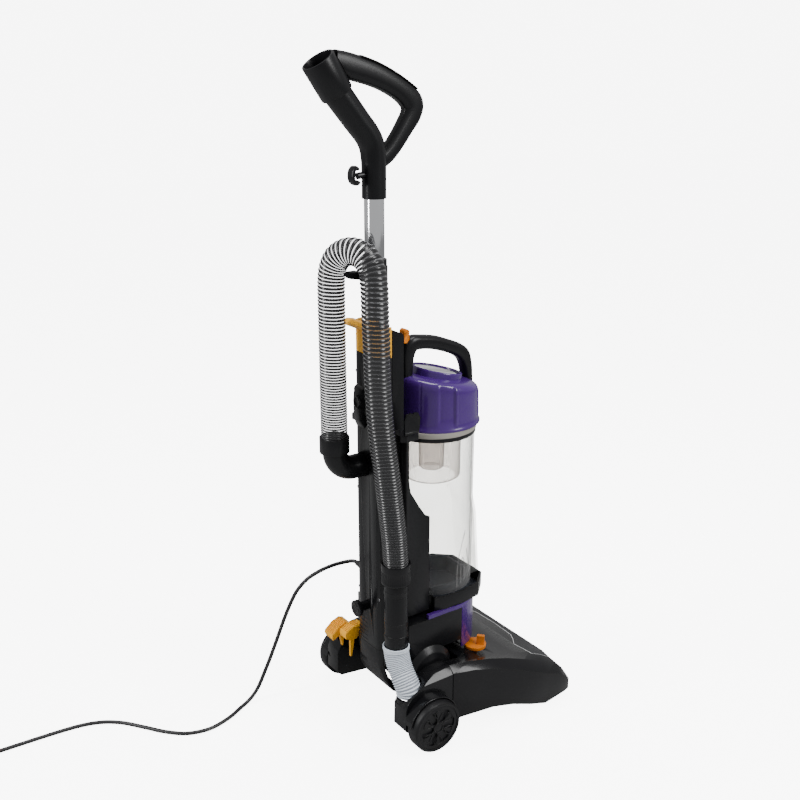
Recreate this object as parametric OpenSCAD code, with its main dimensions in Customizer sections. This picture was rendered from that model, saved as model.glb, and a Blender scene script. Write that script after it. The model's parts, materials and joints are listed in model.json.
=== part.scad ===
// Upright vacuum cleaner with a lift-out bin, a hose on the back and a reclining body.
// Millimetres, +Z up, the floor at z = 0, the nozzle faces -Y, the hose side is -X.
// Every sub-part has its own module and can be drawn alone with the node setting.

/* [Floor head] */
// half width of the nozzle
head_half = 165; // [150:180]
// wall of the moulded covers
wall = 3; // [2:0.5:4]
// half gap between the two rear arms
arm_in = 88; // [86:92]
// outer face of the rear arms
arm_out = 124; // [118:126]

/* [Wheels] */
// radius of a rear wheel over its tyre
wheel_r = 45.3; // [40:50]
// distance of the rear axle behind the centre
wheel_y = 80; // [70:90]
// radius of the rear axle pins
axle_r = 6; // [4:8]
// radius of a front roller
roller_r = 9; // [7:11]

/* [Recline] */
// recline axis, distance behind the centre
pivot_y = 42; // [35:50]
// recline axis, height above the floor
pivot_z = 100; // [90:110]
// radius of the motor drum
drum_r = 46; // [42:50]

/* [Brush] */
// brush roll axis, front of the centre
brush_y = -165; // [-175:-155]
// brush roll axis, height above the floor
brush_z = 30; // [28:34]
// radius over the bristles
bristle_r = 26; // [22:27]

/* [Body] */
// half width of the spine
spine_half = 42; // [38:46]
// front face of the spine
spine_front_y = 72; // [68:76]
// rear face of the spine
spine_rear_y = 116; // [112:120]
// radius of the rear corners of the spine
spine_round = 22; // [16:26]

/* [Bin] */
// distance of the bin axis in front of the centre
bin_y = -15.5; // [-20:-10]
// outer radius of the clear jar
bin_r = 71.5; // [68:74]
// wall of the clear jar
bin_wall = 2.5; // [2:0.5:3]

/* [Wand] */
// outer radius of the chrome tube
tube_r = 15.5; // [14:17]
// distance of the tube axis behind the centre
tube_y = 97; // [94:100]
// radius of the open socket in the handle
mouth_r = 21.5; // [20:22]

/* [Hose and cord] */
// outer radius of the suction hose
hose_r = 21.5; // [20:23]
// outer radius of the white duct hose
duct_r = 20.5; // [19:22]
// radius of the power cord
cord_r = 3.5; // [3:4]
// distance between opposite mid turns of the cord coil
coil_across = 84; // [70:126]

/* [Show] */
// sub-part to draw, or all

/* [Hidden] */
$fn = 48;
gap = 0.4;
pipe_x = -66;
pipe_y = 104;
black = [0.13, 0.13, 0.14];
gloss = [0.08, 0.08, 0.09];
grey = [0.55, 0.56, 0.58];
yellow = [0.95, 0.66, 0.13];
amber = [0.8, 0.42, 0.06];
purple = [0.22, 0.12, 0.42];
clear = [0.85, 0.87, 0.88, 0.35];
silver = [0.75, 0.76, 0.78];

// Stations of the hood: y, half width, bottom, side top, crown half width, crown height,
// centre half width, centre height.
HOOD = [
  [-213, 156, 17, 22, 148, 26, 110, 28],
  [-207, 163, 16, 36, 152, 43, 116, 46],
  [-197, 165, 14.5, 46, 153, 57, 118, 62],
  [-181, 165, 12, 56, 152, 72, 118, 80],
  [-150, 165, 7.5, 68, 148, 84, 116, 86],
  [-117, 163, 17, 83, 142, 97, 112, 94],
  [-81, 156, 27.5, 97, 136, 109, 108, 102],
  [-46, 145, 30, 106, 129, 117, 106, 108],
  [-10, 134, 25.5, 111, 120, 121, 104, 112],
  [28, 124, 22, 112, 112, 122, 102, 116]];

// Silver line across the nozzle, as x, y from the middle to the right.
LINE = [[0, -170], [50, -167], [66, -158], [82, -146], [122, -153], [137, -180], [146, -200]];

// Centre line of the suction hose.
HOSE = [
  [-66, 103.5, 298], [-66, 104.5, 326], [-66, 107, 360], [-65.5, 111, 396],
  [-64, 115, 436], [-62, 119, 478], [-59, 122.5, 516], [-56, 125, 552],
  [-53.5, 127, 594], [-51.5, 128, 640], [-51, 129, 688], [-51.5, 131, 724],
  [-52, 132, 756], [-51, 132.5, 776], [-48, 133.5, 793], [-41, 137, 808],
  [-31, 142.5, 817], [-19.5, 149.5, 820], [-8, 156.5, 817], [2.5, 162.5, 808],
  [9, 166, 794], [11.5, 167.5, 778], [12, 168, 756], [12, 168, 716],
  [12, 168, 676], [12, 168, 636], [12, 168, 596], [12, 168, 556],
  [12, 168, 526], [12, 168, 508]];

// Centre line of the white duct hose.
DUCT = [
  [-66, 104, 164.8], [-66, 104, 158], [-68.5, 104, 147], [-73, 104, 136],
  [-80, 104, 125], [-88.5, 104, 115], [-95.5, 103, 105], [-98.7, 102, 97],
  [-99, 102, 89]];

// Centre line of the power cord, from the strain relief to the coil.
CORD = [
  [74.5, 90, 255], [79, 90.6, 255.3], [85, 96, 255], [90, 110, 254],
  [91, 127, 254], [92, 145, 252], [97, 157, 246], [104, 169, 237],
  [110, 180, 225], [115, 190, 210], [119, 197, 194], [123, 204, 175],
  [127, 211, 154], [131, 218, 131], [135, 226, 106], [140, 235, 78],
  [145, 244, 52], [148, 254, 28], [149, 266, 12], [146, 280, 5],
  [139, 297, 3.6], [128, 318, 3.6], [120, 341, 3.6], [116, 363, 3.6],
  [119, 385, 3.6], [128, 406, 3.6], [143, 423, 3.6], [160, 438, 3.6],
  [177, 450, 3.6], [193, 462, 3.6], [209, 474, 3.6], [223, 487, 3.6],
  [237, 505, 3.6], [247, 526, 3.6], [253, 550, 3.6], [256, 576, 3.6],
  [258, 602, 3.6], [260, 638, 3.6], [262, 676, 3.6], [265, 712, 3.6],
  [273, 745, 3.6]];
COIL = [312, 776];

// Screws that close the spine, as x, z.
SCREWS = [[-30, 236], [30, 236], [-30, 420], [30, 420], [-30, 620], [30, 620]];

// ---- helpers ----
function unit(v) = v / norm(v);
function tangent(p, i) =
  unit(p[min(i + 1, len(p) - 1)] - p[max(i - 1, 0)]);
function ring(c, t, up, r, n) =
  let (u = unit(cross(t, up)), v = cross(u, t))
  [for (k = [0:n - 1]) c + r * (cos(360 * k / n) * u + sin(360 * k / n) * v)];
function strip(a, b, n) =
  [for (k = [0:n - 1]) each [[a + k, b + k, a + (k + 1) % n], [b + k, b + (k + 1) % n, a + (k + 1) % n]]];

// Solid sweep of a round section along a route.
module sweep(p, r, up, n) {
  pts = [for (i = [0:len(p) - 1]) each ring(p[i], tangent(p, i), up, r, n)];
  last = (len(p) - 1) * n;
  skin = [for (i = [0:len(p) - 2]) each strip(i * n, (i + 1) * n, n)];
  caps = [[for (k = [0:n - 1]) k], [for (k = [0:n - 1]) last + n - 1 - k]];
  polyhedron(points = pts, faces = concat(skin, caps), convexity = 6);
}

// Hollow sweep: outer skin, inner skin and two ring shaped ends in one closed body.
module pipe_sweep(p, r, r_in, up, n) {
  m = len(p);
  outer = [for (i = [0:m - 1]) each ring(p[i], tangent(p, i), up, r, n)];
  inner = [for (i = [0:m - 1]) each ring(p[i], tangent(p, i), up, r_in, n)];
  o = m * n;
  skin = [for (i = [0:m - 2]) each strip(i * n, (i + 1) * n, n)];
  bore = [for (i = [0:m - 2]) each strip(o + (i + 1) * n, o + i * n, n)];
  start = strip(o, 0, n);
  end = strip((m - 1) * n, o + (m - 1) * n, n);
  polyhedron(points = concat(outer, inner), faces = concat(skin, bore, start, end), convexity = 8);
}

// Side profile given as y, z points, extruded from x0 to x1.
module side(x0, x1, pts) {
  translate([x0, 0, 0]) rotate([90, 0, 90]) linear_extrude(x1 - x0) polygon(pts);
}
module xcyl(x0, x1, r, y, z) {
  translate([x0, y, z]) rotate([0, 90, 0]) cylinder(h = x1 - x0, r = r);
}
module ycyl(y0, y1, r, x, z) {
  translate([x, y1, z]) rotate([90, 0, 0]) cylinder(h = y1 - y0, r = r);
}
module box(x0, x1, y0, y1, z0, z1) {
  translate([x0, y0, z0]) cube([x1 - x0, y1 - y0, z1 - z0]);
}
module ztube(r, r_in, z0, z1) {
  difference() {
    translate([0, 0, z0]) cylinder(h = z1 - z0, r = r);
    translate([0, 0, z0 - 1]) cylinder(h = z1 - z0 + 2, r = r_in);
  }
}

// ---- floor head ----
function section(s, d) = [
  [-(s[1] - d), s[0], s[2] - 4 * d], [-(s[1] - d), s[0], s[3] - d],
  [-(s[4] - d), s[0], s[5] - d], [-(s[6] - d), s[0], s[7] - d],
  [s[6] - d, s[0], s[7] - d], [s[4] - d, s[0], s[5] - d],
  [s[1] - d, s[0], s[3] - d], [s[1] - d, s[0], s[2] - 4 * d]];
module hood_loft(d, lead) {
  n = 8;
  m = len(HOOD);
  pts = [for (i = [0:m - 1]) each [for (q = section(HOOD[i], d)) q + [0,
    i == 0 ? lead : i == m - 1 ? d : 0, 0]]];
  skin = [for (i = [0:m - 2]) each strip(i * n, (i + 1) * n, n)];
  caps = [[for (k = [0:n - 1]) k], [for (k = [0:n - 1]) m * n - 1 - k]];
  polyhedron(points = pts, faces = concat(skin, caps), convexity = 6);
}
module hood_shell() {
  difference() {
    hood_loft(0, 0);
    hood_loft(wall, wall);
    box(-arm_in, arm_in, -12, 40, 0, 140);
    box(-180, 180, 27, 40, 0, 140);
  }
}
module mirrored_line(grow) {
  pts = concat([for (i = [len(LINE) - 1:-1:1]) [-LINE[i][0], LINE[i][1] + grow]],
    [for (q = LINE) [q[0], q[1] + grow]]);
  translate([0, 0, -5]) linear_extrude(160)
    polygon(concat(pts, [[146, -230], [-146, -230]]));
}
module arm_shape(d) {
  intersection() {
    side(arm_in + 0.6 + d, arm_out - 1.2 - d, [[24 - d, 22 - 4 * d], [24 - d, 121 - d], [60, 119.4 - d],
      [78, 114 - d], [92, 108.5 - d], [103, 102 - d], [112 - d, 95.4 - d], [119.5 - d, 86.5 - d],
        [123.6 - d, 77],
      [124.6 - d, 38], [117 - d, 30 - 4 * d], [60, 23 - 4 * d]]);
    translate([0, 140, 0]) rotate([90, 0, 0]) linear_extrude(160)
      polygon([[arm_in, -20], [arm_in, 126 - d], [108 - d, 126 - d], [arm_out - d, 109 - d],
        [arm_out - d, -20]]);
  }
}
module arm(side_x) {
  scale([side_x, 1, 1]) difference() {
    arm_shape(0);
    arm_shape(wall);
    xcyl(111, 126, axle_r + 0.02, wheel_y, wheel_r);
  }
}
module pedal_ears() {
  for (x = [90.5, 103.7]) {
    side(x, x + 2.5, [[100, 101], [104.8, 129], [111.2, 129], [115, 90]]);
    xcyl(x, x + 2.5, 3.4, 108, 129);
  }
  xcyl(90.5, 106.2, 2.5, 108, 129);
}
module head_cover() color(gloss) {
  difference() {
    union() {
      difference() {
        hood_shell();
        mirrored_line(1.6);
      }
      arm(-1);
      arm(1);
    }
    translate([-99, 102, 58]) cylinder(h = 88, r = duct_r + 1);
    sweep_clear();
    for (x = [-1, 1]) xcyl(x * 90.5 - 5, x * 90.5 + 5, 18.03, pivot_y, pivot_z);
    translate([-72, -62, 90]) cylinder(h = 40, r = 7);
    translate([-72, -62, 108.2]) cylinder(h = 20, r = 19.6);
  }
  pedal_ears();
}
// Room for the white duct hose where it enters the right arm.
module sweep_clear() {
  translate([-84, 103.5, 119]) rotate([0, 38, 0]) cylinder(h = 60, r = duct_r + 1.6, center = true);
}
module front_strip() color(black) {
  intersection() {
    hood_shell();
    mirrored_line(-0.2);
  }
}
module trim_line() color(silver) {
  intersection() {
    hood_shell();
    difference() {
      mirrored_line(1.4);
      mirrored_line(0);
    }
  }
}
module base_outline() {
  polygon([[-148, -203], [148, -203], [152, -196], [155, -142], [157, -117], [150, -81], [139, -46],
    [130, -20],
    [-130, -20], [-139, -46], [-150, -81], [-157, -117], [-155, -142], [-152, -196]]);
}
module head_base() color(black) {
  difference() {
    union() {
      intersection() {
        union() {
          box(-160, 160, -205, -142, 9, 12);
          side(-160, 160, [[-142, 9], [-142, 12], [-117, 22], [-81, 34], [-46, 37], [-20, 37], [-20, 33],
            [-46, 33],
            [-80, 30], [-116, 18]]);
        }
        linear_extrude(60) base_outline();
      }
      box(-150, 92, -138, -135, 12, 64);
      for (x = [-1, 1]) scale([x, 1, 1]) {
        side(arm_in + 4, arm_out - 4.4, [[-20.1, 33], [-20.1, 37], [118, 37], [118, 33]]);
        box(arm_in + 4, arm_in + 7, 60, 100, 36, 52);
        box(arm_out - 7.4, arm_out - 4.4, 66, 94, 36, 60);
        xcyl(arm_out - 12, arm_out - 4.4, 11, wheel_y, wheel_r);
        translate([40, -100, 24]) cylinder(h = 22, r = 3);
      }
      box(-118, -92.5, -138, 112, 36.8, 66);
      intersection() {
        translate([-99, 102, 60]) cylinder(h = 26, r = duct_r + 0.6);
        box(-130, -89, 70, 130, 50, 100);
      }
    }
    box(-146, 146, -190, -146, 0, 20);
    for (x = [-70, 70]) box(x - 12, x + 12, -113, -87, 0, 36);
    box(-83, -59, -90, -46, 0, 60);
    box(-115, -95.5, -145, 109, 41, 63);
    translate([-99, 102, 55]) cylinder(h = 40, r = 17);
    for (x = [-1, 1]) xcyl(x * 118 - 12, x * 118 + 12, axle_r + 0.02, wheel_y, wheel_r);
  }
}
module wheel_axles() color(silver) {
  for (x = [-1, 1]) scale([x, 1, 1]) {
    xcyl(111, 147.2, axle_r, wheel_y, wheel_r);
  }
}
module pivot_collars() color(grey) {
  for (x = [-1, 1]) scale([x, 1, 1]) difference() {
    xcyl(arm_in - 1.5, arm_in + 6.5, 18, pivot_y, pivot_z);
    xcyl(arm_in - 4, arm_in + 12, 14.05, pivot_y, pivot_z);
  }
}
module brush_bearings() color(grey) {
  for (x = [-1, 1]) scale([x, 1, 1]) difference() {
    union() {
      xcyl(143, 151, 12, brush_y, brush_z);
      box(143, 151, brush_y - 12, brush_y + 12, 12, brush_z);
    }
    xcyl(136, 149.4, 4.05, brush_y, brush_z);
  }
}
// Flat belt around the motor pulley and the brush pulley.
module belt_outline(add) {
  dy = pivot_y - brush_y;
  dz = pivot_z - brush_z;
  lean = atan2(dz, dy);
  spread = asin((12 - 8) / norm([dy, dz]));
  a = lean + 90 + spread;
  b = lean - 90 - spread;
  polygon(concat(
    [for (k = [0:12]) let (t = a + (b + 360 - a) * k / 12)
      [brush_y + (12 + add) * cos(t), brush_z + (12 + add) * sin(t)]],
    [for (k = [0:12]) let (t = b + (a - b) * k / 12)
      [pivot_y + (8 + add) * cos(t), pivot_z + (8 + add) * sin(t)]]));
}
module drive_belt() color(black) {
  translate([98, 0, 0]) rotate([90, 0, 90]) linear_extrude(6) difference() {
    belt_outline(2.4);
    belt_outline(0.8);
  }
}
module wheel_hub(x0, x1) {
  difference() {
    translate([x0, wheel_y, wheel_r]) rotate([0, 90, 0]) cylinder(h = x1 - x0, r = 39);
    xcyl(x0 - 1, x1 - 5, 35, wheel_y, wheel_r);
    for (k = [0:5]) {
      translate([x1 - 2.5, wheel_y, wheel_r]) rotate([60 * k + 30, 0, 0]) rotate([0, 90, 0])
        linear_extrude(5) polygon([[9, -2.5], [20, -9], [29, -10.5], [33, -5], [33, 5], [29, 10.5], [20,
          9], [9, 2.5]]);
    }
  }
  difference() {
    xcyl(x0, x1 - 4, 10, wheel_y, wheel_r);
    xcyl(x0 - 1, x1 - 5, axle_r + 0.05, wheel_y, wheel_r);
  }
}
module wheel_left() color(black) wheel_hub(126, 152.5);
module wheel_right() color(black) scale([-1, 1, 1]) wheel_hub(126, 152.5);
module tyre_ring() {
  translate([0, wheel_y, wheel_r]) rotate([0, 90, 0]) rotate_extrude()
    polygon([[39.05, 127], [43.5, 127], [wheel_r, 130], [wheel_r, 150], [43.5, 153.5], [39.05, 153.5]]);
}
module tyre_left() color(gloss) tyre_ring();
module tyre_right() color(gloss) scale([-1, 1, 1]) tyre_ring();
module roller_carriage() color(grey) {
  difference() {
    union() {
      box(-84, 84, -108, -92, 33, 38);
      box(-80, -62, -93, -50, 33, 38);
      for (x = [-70, 70]) for (s = [-1, 1]) {
        box(x + s * 9.5 - 1.5, x + s * 9.5 + 1.5, -105, -95, 5, 34);
      }
    }
    for (x = [-40, 40]) translate([x, -100, 10]) cylinder(h = 40, r = 3.4);
  }
  for (x = [-70, 70]) xcyl(x - 9, x + 9, 2.5, -100, roller_r);
}
module roller(x) {
  difference() {
    xcyl(x - 7, x + 7, roller_r, -100, roller_r);
    xcyl(x - 8, x + 8, 2.55, -100, roller_r);
  }
}
module roller_left() color(black) roller(70);
module roller_right() color(black) roller(-70);
module brush_roll() color(grey) {
  xcyl(-149, 149, 4, brush_y, brush_z);
  xcyl(-140, 96.5, 15, brush_y, brush_z);
  xcyl(96.5, 105.5, 12, brush_y, brush_z);
  xcyl(105.5, 140, 15, brush_y, brush_z);
}
// Two rows of tufts, wound half a turn over the length of the roll.
module brush_bristles() color(purple) {
  for (k = [0:17], s = [0, 180]) {
    x = -132 + 15 * k;
    if (x < 90 || x > 110) {
      translate([x, brush_y, brush_z]) rotate([s + 10 * k, 0, 0])
        translate([0, 0, 15]) cylinder(h = bristle_r - 15, r = 3, $fn = 8);
    }
  }
}
module height_dial() color(amber) {
  translate([-72, -62, 0]) {
    translate([0, 0, 44.5]) cylinder(h = 65, r = 5);
    translate([0, 0, 108.8]) cylinder(h = 5, r = 19);
    rotate([0, 0, 222]) translate([3, -3.5, 113]) cube([13, 7, 17]);
  }
}
module recline_pedal() color(yellow) {
  difference() {
    union() {
      side(76.6, 103.2, [[103.5, 136], [104, 139.5], [112, 142.5], [127, 137], [141, 125.5], [142, 121],
        [139.5, 114.5],
        [131, 119], [120, 126.5], [112, 133.3], [106, 134]]);
      xcyl(93.4, 103.2, 5, 108, 129);
      side(93.4, 103.2, [[105, 129], [104.5, 137], [111.5, 137], [111, 129]]);
      for (k = [0:6])
        side(77.4 + 3.8 * k, 79.2 + 3.8 * k,
          [[109, 140], [113, 143.6], [128, 138], [141.5, 126.6], [136, 124], [126, 130]]);
      side(77, 82, [[120, 130], [126, 128], [124, 112], [121, 99], [119, 99], [118, 112]]);
    }
    xcyl(90, 110, 2.55, 108, 129);
  }
}

// ---- upright: motor and base ----
module motor_housing() color(black) {
  difference() {
    union() {
      xcyl(-76, 76, drum_r, pivot_y, pivot_z);
      for (x = [-1, 1]) scale([x, 1, 1]) {
        translate([76, pivot_y, pivot_z]) rotate([0, 90, 0]) cylinder(h = 8, r1 = drum_r, r2 = 36);
        xcyl(83, 95, 14, pivot_y, pivot_z);
      }
    }
    xcyl(-77, 77, drum_r - wall, pivot_y, pivot_z);
    xcyl(70, 100, 6, pivot_y, pivot_z);
    side(-30, 30, [[30, 130], [30, 150], [54, 150], [54, 130]]);
  }
}
module motor_stator() color(grey) {
  difference() {
    union() {
      xcyl(-34, 34, 42.8, pivot_y, pivot_z);
      xcyl(-44, 44, 14, pivot_y, pivot_z);
    }
    xcyl(-30, 30, 32, pivot_y, pivot_z);
    xcyl(-50, 50, 4.05, pivot_y, pivot_z);
  }
}
module motor_rotor() color(silver) {
  xcyl(-64, 96, 4, pivot_y, pivot_z);
  xcyl(-28, 28, 22, pivot_y, pivot_z);
  xcyl(-57, -52, 36, pivot_y, pivot_z);
  xcyl(-62, -52, 12, pivot_y, pivot_z);
  xcyl(96, 97.5, 11, pivot_y, pivot_z);
  xcyl(97, 105, 8, pivot_y, pivot_z);
  xcyl(104.5, 106, 11, pivot_y, pivot_z);
}
module base_plan(d) {
  translate([-75 + d, -28 + d]) square([150 - 2 * d, 116 - 2 * d]);
  translate([0, bin_y]) circle(r = 72.7 - d);
}
module base_block() color(black) {
  difference() {
    union() {
      translate([0, 0, 135]) linear_extrude(62) base_plan(0);
      for (x = [43.2, 66.4]) side(x, x + 2.4, [[86, 135.4], [86, 146], [95, 146], [99, 143], [99, 137],
        [95, 135.4]]);
      xcyl(43.2, 68.8, 2.5, 95, 140);
    }
    translate([0, 0, 138]) linear_extrude(56) base_plan(wall);
    xcyl(-90, 90, drum_r + 0.1, pivot_y, pivot_z);
    translate([pipe_x, pipe_y, 120]) cylinder(h = 90, r = 21);
    translate([pipe_x - 3, pipe_y, 120]) cylinder(h = 46, r = 22.6);
    box(-39, 39, 76, 90, 130, 190);
    box(-38, 38, -95, -60, 145, 188);
    box(-30, 30, 20, 60, 190, 200);
  }
}
// Purple front skin around the base, with a thin rail along both sides and exhaust slots in front.
module base_trim() color(purple) {
  difference() {
    union() {
      intersection() {
        translate([0, bin_y, 120]) cylinder(h = 84.6, r = 76);
        box(-80, 80, -110, -28.2, 110, 210);
      }
      translate([0, 0, 197.2]) linear_extrude(7.4) {
        translate([-75.6, -28.3]) square([151.2, 72]);
        translate([0, bin_y]) circle(r = 76.4);
      }
    }
    translate([0, bin_y, 110]) cylinder(h = 87.1, r = 72.8);
    translate([0, bin_y, 190]) cylinder(h = 20, r = 69);
    box(-69, 69, -28, 50, 190, 210);
    for (k = [-4:4]) box(8 * k - 2, 8 * k + 2, -100, -60, 152, 184);
  }
}
module exhaust_filter() color(silver) {
  difference() {
    box(-44, 44, -66, -34, 141, 188);
    for (k = [0:8]) box(-41 + 9 * k, -36 + 9 * k, -70, -42, 145, 184);
  }
}

// ---- upright: spine ----
module spine_outline(d) {
  r = spine_round - d;
  polygon(concat([[-spine_half + d, 94], [-spine_half + d, spine_front_y + d],
    [spine_half - d, spine_front_y + d], [spine_half - d, 94]],
    [for (k = [0:8]) [spine_half - spine_round + r * cos(k * 90 / 8), 94 + r * sin(k * 90 / 8)]],
    [for (k = [0:8]) [-spine_half + spine_round - r * sin(k * 90 / 8), 94 + r * cos(k * 90 / 8)]]));
}
module spine_tube(z0, z1) {
  difference() {
    translate([0, 0, z0]) linear_extrude(z1 - z0) spine_outline(0);
    translate([0, 0, z0 - 1]) linear_extrude(z1 - z0 + 2) spine_outline(wall);
  }
}
module cheek_profile(x, pts) side(-x, x, pts);
module spine_front() color(black) {
  difference() {
    union() {
      intersection() {
        spine_tube(141, 700);
        side(-60, 60, [[60, 140], [60, 671], [76, 690], [93.8, 698], [93.8, 140]]);
      }
      difference() {
        cheek_profile(60, [[32, 205.5], [32, 378], [40, 381], [55, 403], [71, 430], [74, 449], [74, 524],
          [79, 524], [79, 205.5]]);
        difference() {
          cheek_profile(57, [[35, 208], [35, 380], [53, 406], [68, 433], [71, 450], [71, 521], [76, 521],
            [76, 208]]);
          translate([0, bin_y, 190]) cylinder(h = 400, r = 78.1);
        }
        box(-39, 39, 75, 95, 200, 530);
      }
      for (x = [-1, 1]) scale([x, 1, 1]) translate([0, 0, 524]) linear_extrude(10)
        polygon([[42.1, 98], [70, 98], [76, 90], [76, 68], [70, 63], [41, 76], [41, 93.6], [42.1, 93.6]]);
      difference() {
        box(-40, 40, 74, 93.8, 664, 668);
        translate([0, tube_y, 650]) cylinder(h = 40, r = tube_r + 0.5);
        box(-7.2, 7.2, 77.3, 81.2, 660, 670);
      }
    }
    translate([0, bin_y, 200]) cylinder(h = 310, r = 75.1);
    translate([0, bin_y, 505]) cylinder(h = 60, r = 77.5);
    ycyl(50, 64, 20.4, 12, 466);
    ycyl(60, 90, 16.4, 12, 466);
    xcyl(30, 50, 5.2, 90, 255);
    box(-45, 45, 60, 88.2, 130, 205);
  }
}
module spine_back() color(black) {
  difference() {
    intersection() {
      spine_tube(141, 653);
      box(-60, 60, 94.2, 130, 130, 700);
    }
    ycyl(105, 120, 20, 12, 466);
    xcyl(30, 50, 5.2, 90, 255);
    ycyl(105, 120, 6.05, 0, 578);
    for (p = SCREWS) ycyl(105, 120, 2.65, p[0], p[1]);
    ycyl(105, 120, 5.2, 0, 215);
  }
}
module lower_back() color(black) {
  intersection() {
    side(-41.8, 41.8, [[115.9, 140.8], [115.9, 138], [115, 112], [108, 84], [94, 60], [78, 48], [72, 54],
      [90, 66],
      [102, 88], [109, 112], [109.5, 140.8]]);
    translate([0, 0, 40]) linear_extrude(110) spine_outline(0.1);
  }
  difference() {
    side(-19, 19, [[112.9, 186], [112.9, 139], [109.4, 139], [109.4, 186]]);
    ycyl(105, 120, 5.2, 0, 200);
  }
  difference() {
    side(-41, 41, [[88.6, 140.8], [88.6, 120], [99, 104], [108, 112], [109.6, 140.8]]);
    side(-38, 38, [[80, 150], [80, 124], [99, 108], [105, 114], [106, 150]]);
  }
}
module inlet_duct() color(grey) {
  difference() {
    union() {
      ycyl(59, 113.8, 16, 12, 466);
      ycyl(59, 63, 20, 12, 466);
    }
    ycyl(55, 120, 13.5, 12, 466);
  }
}
module lower_pipe() color(black) {
  translate([pipe_x, pipe_y, 0]) difference() {
    union() {
      ztube(19.5, 17, 165, 296);
      ztube(20.4, 17, 184, 189);
    }
  }
}
module pipe_clips() color(black) {
  for (z = [205, 262]) {
    difference() {
      union() {
        translate([pipe_x, pipe_y, z]) cylinder(h = 8, r = 21.4);
        box(-60, -42, 97, 103, z, z + 8);
      }
      translate([pipe_x, pipe_y, z - 1]) cylinder(h = 10, r = 19.55);
      box(-90, pipe_x, 112, 130, z - 1, z + 9);
    }
  }
}
module spine_screws() color(silver) {
  for (p = SCREWS) ycyl(108, 113.6, 2.6, p[0], p[1]);
}
module duct_hose() color([0.85, 0.87, 0.9]) {
  pipe_sweep(DUCT, duct_r, duct_r - 2, [0, 1, 0], 20);
}
module hose_cuff() color(black) {
  translate([pipe_x, pipe_y, 0]) difference() {
    union() {
      ztube(24.6, 21.8, 282, 318);
      ztube(24.6, 19.55, 282, 296.5);
    }
  }
}
module suction_hose() color([0.3, 0.31, 0.33, 0.7]) {
  pipe_sweep(HOSE, hose_r, hose_r - 2.5, [0, 1, 0], 12);
}
module hose_end_cuff() color(black) {
  translate([12, 168, 0]) {
    ztube(24, 21.8, 507, 525);
    ztube(24, 19.55, 499, 507.2);
  }
}
module elbow() color(black) {
  translate([12, 134, 500]) rotate([90, 0, 90]) rotate_extrude(angle = -90) translate([34,
    0]) difference() {
    circle(r = 19.5);
    circle(r = 16.5);
  }
  translate([12, 168, 0]) ztube(19.5, 16.5, 500, 506);
  difference() {
    ycyl(114, 134, 19.5, 12, 466);
    ycyl(110, 140, 16.5, 12, 466);
  }
}
module cord_post() color(black) {
  ycyl(106, 134.5, 5, 0, 215);
  ycyl(116.1, 134.5, 8, 0, 215);
  ycyl(134, 141, 14, 0, 215);
}
module cord_hook() color(black) {
  ycyl(113.2, 124, 6, 0, 578);
  ycyl(116.5, 126, 13, 0, 578);
  side(-12, 12, [[125.5, 604], [130, 600], [132, 578], [131, 548], [126, 536], [122, 540], [126, 552],
    [125.5, 578]]);
  side(-12, 12, [[122, 540], [118, 545], [117.6, 551], [121, 552], [126, 546]]);
}
module strain_relief() color(black) {
  difference() {
    union() {
      xcyl(37, 42.2, 5, 90, 255);
      translate([42.1, 90, 255]) rotate([0, 90, 0]) cylinder(h = 31.2, r1 = 7, r2 = 4.6);
    }
    xcyl(30, 80, 2, 90, 255);
  }
}
module tube_clip() color(black) {
  difference() {
    union() {
      translate([0, tube_y, 770]) cylinder(h = 31, r = 19);
      box(-7, 7, 77.5, 81, 660, 790);
      side(-24, -12, [[104, 776], [104, 788], [132, 787], [156, 788.5], [161, 786], [156, 780], [134,
        776]]);
      side(-26, -12, [[138, 781], [141, 790], [155, 790], [161, 786.5], [156, 780]]);
    }
    translate([0, tube_y, 650]) cylinder(h = 200, r = tube_r + 0.05);
  }
}
module wand_lever() color(yellow) {
  difference() {
    union() {
      intersection() {
        spine_tube(654, 702);
        box(-60, 60, 94.6, 130, 650, 705);
      }
      side(-22, 38, [[113, 692], [113, 704], [126, 706], [131, 701], [128, 695]]);
      for (x = [-24, 21.5]) {
        box(x, x + 3, 110, 114, 655.5, 661.5);
        xcyl(x, x + 3, 3, 110, 658.5);
      }
    }
    translate([0, tube_y, 640]) cylinder(h = 80, r = tube_r + 0.45);
  }
}
module power_pedal() color(yellow) {
  difference() {
    union() {
      xcyl(46, 66, 6, 95, 140);
      side(46, 66, [[91, 143], [97, 148.5], [116, 149.5], [132, 141.5], [133, 136], [132, 130], [122,
        124.5],
        [111, 124.5], [103, 131], [97, 134], [91, 137]]);
      for (k = [0:3]) side(47.4 + 4.8 * k, 49.8 + 4.8 * k, [[100, 147], [104, 150.3], [116, 150.8], [131,
        143.4], [125, 142]]);
      side(50, 54, [[112, 127], [121, 127], [121, 110], [121, 90], [118, 90], [114, 110]]);
    }
    xcyl(40, 70, 2.55, 95, 140);
  }
}

// ---- wand ----
module chrome_tube() color(silver) {
  translate([0, tube_y, 0]) ztube(tube_r, tube_r - 1.2, 560, 950);
}
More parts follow.
